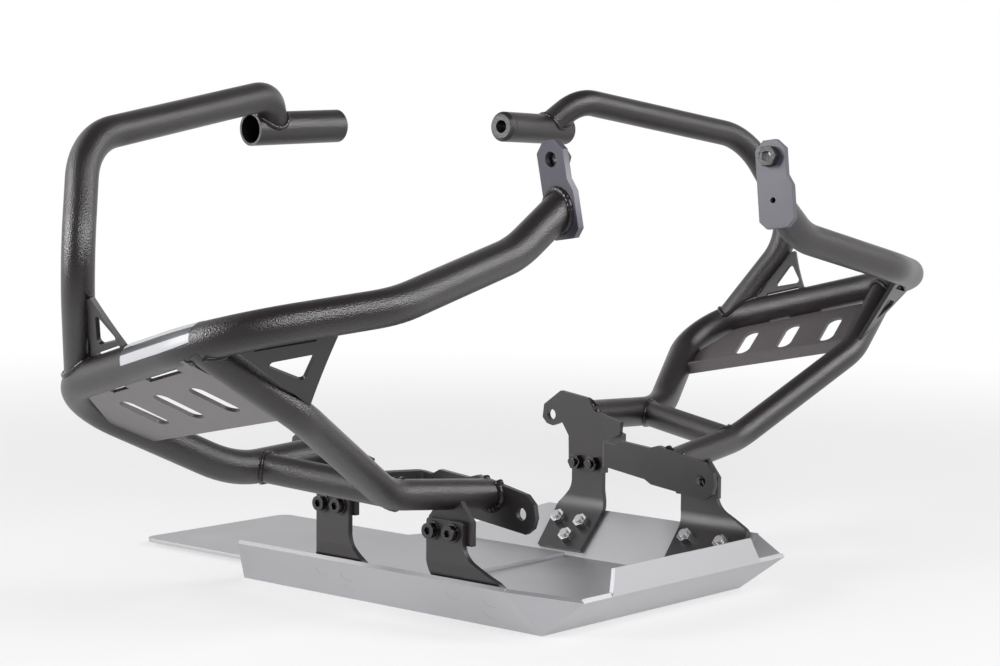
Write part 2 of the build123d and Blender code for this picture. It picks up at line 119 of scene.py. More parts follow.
def linear(colour: str) -> tuple[float, float, float, float]:
    """Turn an sRGB hex colour into the linear colour that shaders take.

    Args:
        colour: Six hex digits after a hash.

    Returns:
        Linear red, green, blue and a full alpha.
    """
    parts = [int(colour[i : i + 2], 16) / 255 for i in (1, 3, 5)]
    # The curve of the sRGB standard
    red, green, blue = (
        c / 12.92 if c <= 0.04045 else ((c + 0.055) / 1.055) ** 2.4 for c in parts
    )
    return (red, green, blue, 1.0)


def per_metre(size_mm: float) -> float:
    """Scale of a pattern whose cells are this many millimetres wide."""
    return 1 / (size_mm * MM)


def add_node(
    tree: bpy.types.NodeTree,
    kind: str,
    settings: dict[str | int, object] | None = None,
    links: dict[str | int, bpy.types.NodeSocket] | None = None,
) -> bpy.types.Node:
    """Add one shader node with its settings and what feeds it.

    Args:
        tree: Node tree that takes the node.
        kind: Blender's name of the node.
        settings: Attributes by name, and socket values by socket name or number.
        links: Output socket that feeds each input socket, by socket name or number.

    Returns:
        The new node.
    """
    node = tree.nodes.new(kind)
    for key, value in (settings or {}).items():
        if isinstance(key, str) and hasattr(node, key):
            setattr(node, key, value)
        else:
            node.inputs[key].default_value = value
    for key, output in (links or {}).items():
        tree.links.new(output, node.inputs[key])
    return node


def select_only(*objects: bpy.types.Object) -> None:
    """Deselect everything, then select these objects with the first one active.

    Args:
        *objects: The objects to select, at least one.
    """
    bpy.ops.object.select_all(action="DESELECT")
    for piece in objects:
        piece.select_set(True)
    bpy.context.view_layer.objects.active = objects[0]


def settle(piece: bpy.types.Object) -> None:
    """Move a piece's place from its object into its mesh."""
    select_only(piece)
    bpy.ops.object.transform_apply(location=True, rotation=True, scale=True)


def drop_onto(piece: bpy.types.Object, target: bpy.types.Object, gap_mm: float = 0.0) -> None:
    """Drop the points of the active piece down its own Z axis onto another piece.

    Args:
        piece: The active piece.
        target: What its points land on.
        gap_mm: Gap that stays between the two.
    """
    wrap = piece.modifiers.new("onto", "SHRINKWRAP")
    wrap.target = target
    wrap.wrap_method = "PROJECT"
    wrap.use_project_z = True
    wrap.use_positive_direction = False
    wrap.use_negative_direction = True
    wrap.offset = gap_mm * MM
    bpy.ops.object.modifier_apply(modifier=wrap.name)


def paint(piece: bpy.types.Object, material: bpy.types.Material) -> None:
    """Give a piece or a CAD node one material all over.

    Args:
        piece: The piece or node.
        material: What all its slots take.
    """
    if not piece.material_slots:
        piece.data.materials.append(material)
    for slot in piece.material_slots:
        slot.material = material


@dataclass(frozen=True)
class Finish:
    """What all finishes have: a name and the record's material slot."""

    name: str
    slot: str

    def make(self) -> bpy.types.Material:
        """Build the material.

        Returns:
            The finished material.
        """
        material = bpy.data.materials.new(self.name)
        material.use_nodes = True
        tree = material.node_tree
        place = add_node(tree, "ShaderNodeTexCoord").outputs["Object"]
        self.lay(tree, tree.nodes["Principled BSDF"], place)
        return material

    def lay(
        self, tree: bpy.types.NodeTree, shader: bpy.types.Node, place: bpy.types.NodeSocket
    ) -> None:
        """Add the finish's own nodes. Each finish has its own way.

        Args:
            tree: The material's node tree.
            shader: Its Principled BSDF node.
            place: Socket with the Object coordinates.
        """
        raise NotImplementedError


@dataclass(frozen=True)
class PowderCoat(Finish):
    """Polyester powder coat, sprayed on welded steel tube and baked.

    It flows into a satin skin with a fine grain and a slight orange peel, so a soft lamp's
    highlight breaks into specks along the tube.
    """

    name: str = "powder_coat_fine_grain_black"
    slot: str = "powder_coat"
    colour: str = "#171113"
    speck: str = "#262024"
    speck_share: float = 0.55
    roughness: Span = (0.28, 0.39)
    reflection: float = 0.86
    # The real grain is about half a millimetre wide. It is drawn twice as coarse, so that it shows
    # in the photo's frame.
    grain_mm: float = 1.1
    grain_depth_mm: float = 0.33
    grain_bump: float = 0.7
    peel_mm: float = 7.0
    peel_depth_mm: float = 0.04
    # Width of the patches in which the coat is a little more or less glossy
    drift_mm: float = 71.43

    def lay(
        self, tree: bpy.types.NodeTree, shader: bpy.types.Node, place: bpy.types.NodeSocket
    ) -> None:
        """Add the specks, the grain over the peel, and the drifting gloss.

        Args:
            tree: The material's node tree.
            shader: Its Principled BSDF node.
            place: Socket with the Object coordinates.
        """
        shader.inputs["Specular IOR Level"].default_value = self.reflection
        grain = add_node(
            tree, "ShaderNodeTexVoronoi", {"Scale": per_metre(self.grain_mm)}, {"Vector": place},
        )
        peel = add_node(
            tree, "ShaderNodeTexNoise", {"Scale": per_metre(self.peel_mm), "Detail": 2.0},
            {"Vector": place},
        )
        drift = add_node(
            tree, "ShaderNodeTexNoise",
            {"Scale": per_metre(self.drift_mm), "Detail": 3.0, "Roughness": 0.55},
            {"Vector": place},
        )
        shade = add_node(
            tree, "ShaderNodeMapRange", {"To Max": self.speck_share},
            {"Value": grain.outputs["Distance"]},
        )
        colour = add_node(
            tree, "ShaderNodeMix",
            {
                "data_type": "RGBA",
                MIX_FIRST: linear(self.colour), MIX_SECOND: linear(self.speck),
            },
            {MIX_SHARE: shade.outputs[0]},
        )
        gloss = add_node(
            tree, "ShaderNodeMapRange",
            {
                "From Min": NOISE_LOW, "From Max": NOISE_HIGH,
                "To Min": self.roughness[0], "To Max": self.roughness[1],
            },
            {"Value": drift.outputs[0]},
        )
        waves = add_node(
            tree, "ShaderNodeBump",
            {"Strength": SKIN_BUMP, "Distance": self.peel_depth_mm * MM},
            {"Height": peel.outputs[0]},
        )
        specks = add_node(
            tree, "ShaderNodeBump",
            {"Strength": self.grain_bump, "Distance": self.grain_depth_mm * MM},
            {"Height": grain.outputs["Distance"], "Normal": waves.outputs[0]},
        )
        tree.links.new(colour.outputs[MIX_RESULT], shader.inputs["Base Color"])
        tree.links.new(gloss.outputs[0], shader.inputs["Roughness"])
        tree.links.new(specks.outputs[0], shader.inputs["Normal"])


@dataclass(frozen=True)
class PlateCoat(Finish):
    """The same powder coat on laser-cut steel plate, where it lies flatter and looks greyer."""

    name: str = "powder_coat_flat_plate"
    slot: str = "bracket_coat"
    colour: str = "#1E1A1C"
    smear: str = "#242022"
    roughness: Span = (0.36, 0.40)
    reflection: float = 0.7
    # Drawn twice as coarse as the real grain, as on the tubes
    grain_mm: float = 1.1
    depth_mm: float = 0.04
    cloud_mm: float = 33.33

    def lay(
        self, tree: bpy.types.NodeTree, shader: bpy.types.Node, place: bpy.types.NodeSocket
    ) -> None:
        """Add the grain, and the faint clouds in colour and gloss.

        Args:
            tree: The material's node tree.
            shader: Its Principled BSDF node.
            place: Socket with the Object coordinates.
        """
        shader.inputs["Specular IOR Level"].default_value = self.reflection
        grain = add_node(
            tree, "ShaderNodeTexNoise", {"Scale": per_metre(self.grain_mm), "Detail": 2.0},
            {"Vector": place},
        )
        cloud = add_node(
            tree, "ShaderNodeTexNoise",
            {"Scale": per_metre(self.cloud_mm), "Detail": 4.0, "Roughness": 0.6},
            {"Vector": place},
        )
        colour = add_node(
            tree, "ShaderNodeMix",
            {
                "data_type": "RGBA",
                MIX_FIRST: linear(self.colour), MIX_SECOND: linear(self.smear),
            },
            {MIX_SHARE: cloud.outputs[0]},
        )
        gloss = add_node(
            tree, "ShaderNodeMapRange",
            {
                "From Min": NOISE_LOW, "From Max": NOISE_HIGH,
                "To Min": self.roughness[0], "To Max": self.roughness[1],
            },
            {"Value": cloud.outputs[0]},
        )
        skin = add_node(
            tree, "ShaderNodeBump", {"Strength": SKIN_BUMP, "Distance": self.depth_mm * MM},
            {"Height": grain.outputs[0]},
        )
        tree.links.new(colour.outputs[MIX_RESULT], shader.inputs["Base Color"])
        tree.links.new(gloss.outputs[0], shader.inputs["Roughness"])
        tree.links.new(skin.outputs[0], shader.inputs["Normal"])


@dataclass(frozen=True)
class BlastedAluminium(Finish):
    """Aluminium sheet, bead blasted and clear anodised: a pale, even, silky grey with fine grit."""

    name: str = "aluminium_sheet_blasted"
    slot: str = "skid_aluminium"
    colour: str = "#BFBFC2"
    shade: str = "#B7B7BA"
    roughness: Span = (0.40, 0.46)
    metallic: float = 0.72
    # Real bead-blast pits are about 0.2 mm wide. They are drawn coarser, so that they show in the
    # photo's frame.
    grit_mm: float = 0.9
    depth_mm: float = 0.03
    cloud_mm: float = 111.1

    def lay(
        self, tree: bpy.types.NodeTree, shader: bpy.types.Node, place: bpy.types.NodeSocket
    ) -> None:
        """Add the grit, and the faint clouds in colour and gloss.

        Args:
            tree: The material's node tree.
            shader: Its Principled BSDF node.
            place: Socket with the Object coordinates.
        """
        shader.inputs["Metallic"].default_value = self.metallic
        grit = add_node(
            tree, "ShaderNodeTexNoise", {"Scale": per_metre(self.grit_mm), "Detail": 2.0},
            {"Vector": place},
        )
        cloud = add_node(
            tree, "ShaderNodeTexNoise",
            {"Scale": per_metre(self.cloud_mm), "Detail": 4.0, "Roughness": 0.6},
            {"Vector": place},
        )
        colour = add_node(
            tree, "ShaderNodeMix",
            {
                "data_type": "RGBA",
                MIX_FIRST: linear(self.colour), MIX_SECOND: linear(self.shade),
            },
            {MIX_SHARE: cloud.outputs[0]},
        )
        gloss = add_node(
            tree, "ShaderNodeMapRange",
            {
                "From Min": NOISE_LOW, "From Max": NOISE_HIGH,
                "To Min": self.roughness[0], "To Max": self.roughness[1],
            },
            {"Value": cloud.outputs[0]},
        )
        skin = add_node(
            tree, "ShaderNodeBump", {"Strength": SKIN_BUMP, "Distance": self.depth_mm * MM},
            {"Height": grit.outputs[0]},
        )
        tree.links.new(colour.outputs[MIX_RESULT], shader.inputs["Base Color"])
        tree.links.new(gloss.outputs[0], shader.inputs["Roughness"])
        tree.links.new(skin.outputs[0], shader.inputs["Normal"])


@dataclass(frozen=True)
class FastenerSteel(Finish):
    """Turned and rolled steel fasteners, black oxide or zinc plated, with faint handling marks."""

    colour: str
    mark: str
    roughness: Span
    mark_mm: float = 2.0

    def lay(
        self, tree: bpy.types.NodeTree, shader: bpy.types.Node, place: bpy.types.NodeSocket
    ) -> None:
        """Add the marks, which change both colour and gloss.

        Args:
            tree: The material's node tree.
            shader: Its Principled BSDF node.
            place: Socket with the Object coordinates.
        """
        shader.inputs["Metallic"].default_value = 1.0
        marks = add_node(
            tree, "ShaderNodeTexNoise", {"Scale": per_metre(self.mark_mm), "Detail": 4.0},
            {"Vector": place},
        )
        colour = add_node(
            tree, "ShaderNodeMix",
            {
                "data_type": "RGBA",
                MIX_FIRST: linear(self.colour), MIX_SECOND: linear(self.mark),
            },
            {MIX_SHARE: marks.outputs[0]},
        )
        gloss = add_node(
            tree, "ShaderNodeMapRange",
            {
                "From Min": NOISE_LOW, "From Max": NOISE_HIGH,
                "To Min": self.roughness[0], "To Max": self.roughness[1],
            },
            {"Value": marks.outputs[0]},
        )
        tree.links.new(colour.outputs[MIX_RESULT], shader.inputs["Base Color"])
        tree.links.new(gloss.outputs[0], shader.inputs["Roughness"])


@dataclass(frozen=True)
class WeldSkin(Finish):
    """Powder coat over a weld bead: the same black, but thin and glossy on the ripples."""

    name: str = "powder_coat_on_weld"
    slot: str = "powder_coat"
    colour: str = "#241F22"
    roughness: Span = (0.13, 0.29)
    spatter_mm: float = 1.3
    depth_mm: float = 0.12

    def lay(
        self, tree: bpy.types.NodeTree, shader: bpy.types.Node, place: bpy.types.NodeSocket
    ) -> None:
        """Add the colour, and the fine spatter in gloss and bump.

        Args:
            tree: The material's node tree.
            shader: Its Principled BSDF node.
            place: Socket with the Object coordinates.
        """
        shader.inputs["Base Color"].default_value = linear(self.colour)
        spatter = add_node(
            tree, "ShaderNodeTexNoise", {"Scale": per_metre(self.spatter_mm), "Detail": 2.0},
            {"Vector": place},
        )
        gloss = add_node(
            tree, "ShaderNodeMapRange",
            {"To Min": self.roughness[0], "To Max": self.roughness[1]},
            {"Value": spatter.outputs[0]},
        )
        skin = add_node(
            tree, "ShaderNodeBump", {"Strength": SKIN_BUMP, "Distance": self.depth_mm * MM},
            {"Height": spatter.outputs[0]},
        )
        tree.links.new(gloss.outputs[0], shader.inputs["Roughness"])
        tree.links.new(skin.outputs[0], shader.inputs["Normal"])


@dataclass(frozen=True)
class LabelVinyl(Finish):
    """Blank vinyl label: a pale film with one grey band, printed smooth and a little glossy."""

    name: str = "vinyl_label_blank"
    slot: str = "powder_coat"
    film: str = "#BFBFC2"
    band: str = "#4A4D51"
    # Where the band starts and ends, as shares of the label's width
    band_from: float = 0.23
    band_to: float = 0.48
    roughness: Span = (0.30, 0.40)
    mottle_mm: float = 1.0

    def lay(
        self, tree: bpy.types.NodeTree, shader: bpy.types.Node, place: bpy.types.NodeSocket
    ) -> None:
        """Add the band, which follows the label's own UV map, and the drifting gloss.

        Args:
            tree: The material's node tree.
            shader: Its Principled BSDF node.
            place: Socket with the Object coordinates.
        """
        spread = add_node(tree, "ShaderNodeUVMap").outputs[0]
        across = add_node(tree, "ShaderNodeSeparateXYZ", {}, {0: spread}).outputs["Y"]
        low = add_node(
            tree, "ShaderNodeMath", {"operation": "GREATER_THAN", 1: self.band_from}, {0: across},
        )
        high = add_node(
            tree, "ShaderNodeMath", {"operation": "LESS_THAN", 1: self.band_to}, {0: across},
        )
        band = add_node(
            tree, "ShaderNodeMath", {"operation": "MULTIPLY"},
            {0: low.outputs[0], 1: high.outputs[0]},
        )
        colour = add_node(
            tree, "ShaderNodeMix",
            {
                "data_type": "RGBA",
                MIX_FIRST: linear(self.film), MIX_SECOND: linear(self.band),
            },
            {MIX_SHARE: band.outputs[0]},
        )
        mottle = add_node(
            tree, "ShaderNodeTexNoise", {"Scale": per_metre(self.mottle_mm), "Detail": 2.0},
            {"Vector": place},
        )
        gloss = add_node(
            tree, "ShaderNodeMapRange",
            {"To Min": self.roughness[0], "To Max": self.roughness[1]},
            {"Value": mottle.outputs[0]},
        )
        tree.links.new(colour.outputs[MIX_RESULT], shader.inputs["Base Color"])
        tree.links.new(gloss.outputs[0], shader.inputs["Roughness"])


@dataclass(frozen=True)
class WeldRing:
    """Bead all round the end of a tube, where it meets another piece."""

    start: Point
    towards: Point
    tube: Tube
    onto: str
    bead_mm: float = 1.9


@dataclass(frozen=True)
class WeldTack:
    """Pair of short beads, one on each side of a plate, where its edge lies along a tube."""

    start: Point
    along: Point
    plate_side: Point
    tube: Tube
    from_mm: float
    to_mm: float


@dataclass
class WeldBeads:
    """All the weld beads of one bar, as one piece."""

    side: Side
    nodes: dict[str, bpy.types.Object]
    tack_mm: float = 1.8
    # Faces round a tack and along it
    tack_faces: tuple[int, int] = (16, 36)
    plate_mm: float = 4.0
    proud_mm: float = 0.2
    ripple_mm: float = 4.0
    ripple_share: float = 0.04
    ring_points: int = 120
    # Blender's bevel resolution: 2 gives a bead's round section eight sides
    ring_steps: int = 2
    lift_mm: float = 60.0
    rings: tuple[WeldRing, ...] = (
        WeldRing(LOOP_FOOT, LOOP_BELLY, Tube.LOOP, "main_tube", 2.3),
        WeldRing(LOOP_SEAT, LOOP_TAIL, Tube.LOOP, "stub_tube", 2.3),
        WeldRing(DIAGONAL_TOP, DIAGONAL_KNEE, Tube.LOOP, "main_tube", 2.6),
        WeldRing(CROSS_FRONT, CROSS_REAR, Tube.CROSS, "main_tube"),
        WeldRing(CROSS_REAR, CROSS_FRONT, Tube.CROSS, "diagonal_tube"),
        WeldRing(MOUNT_END, MAIN_FRONT_KNEE, Tube.MAIN, "upper_mount_plate", 3.2),
        WeldRing(BRACKET_END, MAIN_ELBOW, Tube.MAIN, "lower_mount_bracket", 3.2),
        WeldRing(DIAGONAL_END, DIAGONAL_ELBOW, Tube.LOOP, "lower_mount_bracket", 3.2),
    )
    tacks: tuple[WeldTack, ...] = (
        WeldTack(LOOP_FOOT, MAIN_SHOULDER, LOOP_BELLY, Tube.MAIN, 32.0, 48.0),
        WeldTack(LOOP_FOOT, MAIN_SHOULDER, LOOP_BELLY, Tube.MAIN, 85.0, 95.0),
        WeldTack(LOOP_FOOT, LOOP_BELLY, MAIN_SHOULDER, Tube.LOOP, 38.0, 58.0),
        WeldTack(MAIN_SHOULDER, MAIN_SIDE_KNEE, DIAGONAL_KNEE, Tube.MAIN, 82.0, 100.0),
    )

    def build(self) -> bpy.types.Object:
        """Lay every bead and join them.

        Returns:
            The joined beads.
        """
        beads = [self._ring(ring) for ring in self.rings]
        beads += [self._tack(tack, face) for tack in self.tacks for face in (-1, 1)]
        select_only(*beads)
        bpy.ops.object.join()
        piece = bpy.context.object
        piece.name = self.side.node("weld_beads")
        piece.data.name = piece.name
        bpy.ops.object.shade_smooth()
        return piece

    def dress(self, piece: bpy.types.Object, skin: bpy.types.Material) -> None:
        """Paint the beads and let them ride with the bar.

        Args:
            piece: The joined beads.
            skin: Their material.
        """
        paint(piece, skin)
        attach(piece, BODY)

    def _ring(self, ring: WeldRing) -> bpy.types.Object:
        """Drop a circle round a tube along its axis onto the piece that it meets, and swell it.

        Args:
            ring: Where the tube ends, which way it runs and what it meets.

        Returns:
            The bead, with its place in its mesh.
        """
        start = self.side.place(ring.start)
        axis = (self.side.place(ring.towards) - start).normalized()
        bpy.ops.object.select_all(action="DESELECT")
        bpy.ops.mesh.primitive_circle_add(
            vertices=self.ring_points,
            radius=(ring.tube.value / 2 + self.proud_mm) * MM,
            location=start + axis * (self.lift_mm * MM),
            rotation=axis.to_track_quat("Z", "Y").to_euler(),
        )
        seam = bpy.context.object
        drop_onto(seam, self.nodes[self.side.node(ring.onto)])
        self._drop_strays(seam, ring.bead_mm)
        self._swell(seam, ring.bead_mm)
        return bpy.context.object

    def _tack(self, tack: WeldTack, face: int) -> bpy.types.Object:
        """Stretch a ball into a rippled bead in the corner between a plate and a tube.

        Args:
            tack: Where the bead lies.
            face: The plate's side, 1 or -1.

        Returns:
            The bead, with its place in its mesh.
        """
        start, along, towards = (
            self.side.place(p) for p in (tack.start, tack.along, tack.plate_side)
        )
        run = (along - start).normalized()
        across = run.cross(towards - start).normalized()
        out = across.cross(run)
        middle = start + run * (tack.from_mm + tack.to_mm) / 2 * MM
        middle += (out * tack.tube.value + across * face * self.plate_mm) / 2 * MM
        bpy.ops.object.select_all(action="DESELECT")
        bpy.ops.mesh.primitive_uv_sphere_add(
            segments=self.tack_faces[0], ring_count=self.tack_faces[1], radius=1,
        )
        bead = bpy.context.object
        half = (tack.to_mm - tack.from_mm) / 2
        for vertex in bead.data.vertices:
            x, y, z = vertex.co
            wide = self.tack_mm * self._ripple(z * half)
            vertex.co = Vector((x * wide, y * wide, z * half)) * MM
        turn = run.to_track_quat("Z", "Y").to_matrix().to_4x4()
        bead.matrix_world = Matrix.Translation(middle) @ turn
        settle(bead)
        return bead

    def _ripple(self, run_mm: float) -> float:
        """Thickness of a bead at a place along its run, where 1 is its mean."""
        return 1 + self.ripple_share * math.cos(2 * math.pi * run_mm / self.ripple_mm)

    def _drop_strays(self, seam: bpy.types.Object, bead_mm: float) -> None:
        """Delete the points of a seam that found nothing to lie on.

        Args:
            seam: The dropped circle.
            bead_mm: The bead's radius: a point that fell by less is a stray.
        """
        bpy.ops.object.mode_set(mode="EDIT")
        bpy.ops.mesh.select_all(action="DESELECT")
        mesh = bmesh.from_edit_mesh(seam.data)
        for vertex in mesh.verts:
            vertex.select_set(abs(vertex.co.z) < bead_mm * MM)
        bmesh.update_edit_mesh(seam.data)
        bpy.ops.mesh.delete(type="VERT")
        bpy.ops.object.mode_set(mode="OBJECT")

    def _swell(self, seam: bpy.types.Object, bead_mm: float) -> None:
        """Turn a seam line into a rippled bead with its place in its mesh.

        Args:
            seam: The dropped circle without its strays.
            bead_mm: The bead's radius.
        """
        settle(seam)
        bpy.ops.object.convert(target="CURVE")
        curve = bpy.context.object.data
        curve.bevel_depth = bead_mm * MM
        curve.bevel_resolution = self.ring_steps
        curve.use_fill_caps = True
        for spline in curve.splines:
            run, last = 0.0, spline.points[0].co.xyz
            for point in spline.points:
                run += (point.co.xyz - last).length / MM
                last = point.co.xyz
                point.radius = self._ripple(run)
        bpy.ops.object.convert(target="MESH")


@dataclass
class RoundedPiece:
    """A CAD node with its sharp edges eased, as a deburred plate or a chamfered fastener has."""

    node: str
    edge_mm: float
    fold_mm: float = 0.0
    # Turns of the edges that are folds, where the piece has folds
    fold_deg: Span = (12.0, 75.0)
    fold_segments: int = 4
    # Least turn of a sharp edge on a piece without folds, and more than any edge can turn
    sharp_deg: float = 40.0
    most_deg: float = 181.0
    segments: int = 2
    merge_mm: float = 0.004
    flat_deg: float = 0.4
    smooth_deg: float = 32.0
    # At this weight the large faces rule the shading, so that flat faces look flat
    flat_weight: int = 100

    def build(self, source: bpy.types.Object) -> bpy.types.Object:
        """Copy the node's mesh, merge it and round its edges.

        Args:
            source: The CAD node's object.

        Returns:
            The rounded copy.
        """
        piece = bpy.data.objects.new(f"{self.node}_eased", source.data.copy())
        bpy.context.scene.collection.objects.link(piece)
        select_only(piece)
        bpy.ops.object.mode_set(mode="EDIT")
        bpy.ops.mesh.select_all(action="SELECT")
        bpy.ops.mesh.remove_doubles(threshold=self.merge_mm * MM)
        bpy.ops.mesh.customdata_custom_splitnormals_clear()
        bpy.ops.mesh.dissolve_limited(angle_limit=math.radians(self.flat_deg))
        sharp_from = self.sharp_deg
        if self.fold_mm:
            self._round(piece, self.fold_deg, self.fold_mm, self.fold_segments)
            sharp_from = self.fold_deg[1]
        self._round(piece, (sharp_from, self.most_deg), self.edge_mm, self.segments)
        bpy.ops.object.mode_set(mode="OBJECT")
        bpy.ops.object.shade_smooth_by_angle(angle=math.radians(self.smooth_deg))
        flatten = piece.modifiers.new("flat_faces", "WEIGHTED_NORMAL")
        flatten.keep_sharp = True
        flatten.weight = self.flat_weight
        bpy.ops.object.modifier_apply(modifier=flatten.name)
        return piece

    def dress(self, piece: bpy.types.Object, finish: bpy.types.Material, slot: str) -> None:
        """Paint the copy, let it stand for its node and ride with the set.

        Args:
            piece: The rounded copy.
            finish: Its material.
            slot: The record's material slot. It is not used.
        """
        piece.data.materials.clear()
        paint(piece, finish)
        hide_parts(self.node)
        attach(piece, BODY)

    def _round(
        self, piece: bpy.types.Object, turns_deg: Span, width_mm: float, segments: int
    ) -> None:
        """Bevel the edges whose two faces turn by an angle in a range.

        Args:
            piece: The piece, in edit mode.
            turns_deg: The least and the most turn.
            width_mm: Width of the bevel on each face.
            segments: Steps of the bevel.
        """
        bpy.ops.mesh.select_mode(type="EDGE")
        bpy.ops.mesh.select_all(action="DESELECT")
        mesh = bmesh.from_edit_mesh(piece.data)
        low, high = (math.radians(turn) for turn in turns_deg)
        for edge in mesh.edges:
            if low < edge.calc_face_angle(0.0) <= high:
                edge.select_set(True)
        bmesh.update_edit_mesh(piece.data)
        bpy.ops.mesh.bevel(
            offset=width_mm * MM, segments=segments, affect="EDGES", clamp_overlap=True,
        )


@dataclass
class TubeLabel:
    """Blank label on a main tube's outer run, from its side over its top and into the shoulder."""

    side: Side
    # Where the label starts and ends along the run, from the nose
    near_mm: float = 140.0
    far_mm: float = 230.0
    wide_mm: float = 24.0
    above_mm: float = 40.0
    lift_mm: float = 0.15
    film_mm: float = 0.15
    bend_mm: float = 80.0
    smooth_deg: float = 40.0
    cells: tuple[int, int] = (60, 32)
    facing: Point = (-0.631, 0.303, 0.714)

    def build(self, tube: bpy.types.Object) -> bpy.types.Object:
        """Bend a flat strip to the tube's line and lay it down on the tube.

        Args:
            tube: The main tube's CAD object.

        Returns:
            The label, with its place in its mesh.
        """
        nose, shoulder = self.side.place(MAIN_NOSE), self.side.place(MAIN_SHOULDER)
        axis = (shoulder - nose).normalized()
        facing = Vector(self.facing)
        facing = (facing - axis * facing.dot(axis)).normalized()
        turn = Matrix((axis, facing.cross(axis), facing)).transposed()
        bpy.ops.object.select_all(action="DESELECT")
        bpy.ops.mesh.primitive_grid_add(
            x_subdivisions=self.cells[0], y_subdivisions=self.cells[1], size=1,
        )
        piece = bpy.context.object
        piece.name = self.side.node("blank_label")
        piece.data.name = piece.name
        self._bend(piece, turn)
        above = nose + facing * self.above_mm * MM
        piece.matrix_world = Matrix.Translation(above) @ turn.to_4x4()
        drop_onto(piece, tube, self.lift_mm)
        wall = piece.modifiers.new("film", "SOLIDIFY")
        wall.thickness = self.film_mm * MM
        wall.offset = 1.0
        bpy.ops.object.modifier_apply(modifier=wall.name)
        bpy.ops.object.shade_smooth_by_angle(angle=math.radians(self.smooth_deg))
        settle(piece)
        return piece

    def dress(self, piece: bpy.types.Object, vinyl: bpy.types.Material) -> None:
        """Paint the label and let it ride with the bar.

        Args:
            piece: The label.
            vinyl: Its material.
        """
        paint(piece, vinyl)
        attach(piece, BODY)

    def _bend(self, piece: bpy.types.Object, turn: Matrix) -> None:
        """Stretch a unit grid to the label's size and bend its far end as the shoulder bends.

        Args:
            piece: The flat grid, a metre square.
            turn: Matrix from the label's own axes, along, across and outwards, to the frame.
        """
        nose, shoulder, knee = (
            self.side.place(p) for p in (MAIN_NOSE, MAIN_SHOULDER, MAIN_SIDE_KNEE)
        )
        run, leave = shoulder - nose, (knee - shoulder).normalized()
        angle = run.angle(leave)
        straight = run.length / MM - self.bend_mm * math.tan(angle / 2)
        aside = (leave - turn.col[0] * leave.dot(turn.col[0])).normalized()
        sideways = aside.dot(turn.col[1])
        for vertex in piece.data.vertices:
            along = self.near_mm + (vertex.co.x + 0.5) * (self.far_mm - self.near_mm)
            across = vertex.co.y * self.wide_mm
            arc = max(along - straight, 0.0) / self.bend_mm
            drift = self.bend_mm * (1 - math.cos(arc)) * sideways
            along = min(along, straight) + self.bend_mm * math.sin(arc)
            vertex.co = Vector((along, across + drift, 0.0)) * MM


@dataclass(frozen=True)
class Lamp:
    """One soft box, in metres and watts."""

    name: str
    place: Point
    size: Span
    power: float
    target: Point = (0.0, 0.0, 0.25)

    def build(self) -> None:
        """Hang the lamp, facing its target."""
        data = bpy.data.lights.new(self.name, "AREA")
        data.shape = "RECTANGLE"
        data.size, data.size_y = self.size
        data.energy = self.power
        lamp = bpy.data.objects.new(self.name, data)
        bpy.context.scene.collection.objects.link(lamp)
        lamp.location = self.place
        lamp.visible_camera = False
        aim = Vector(self.target) - Vector(self.place)
        lamp.rotation_euler = aim.to_track_quat("-Z", "Y").to_euler()


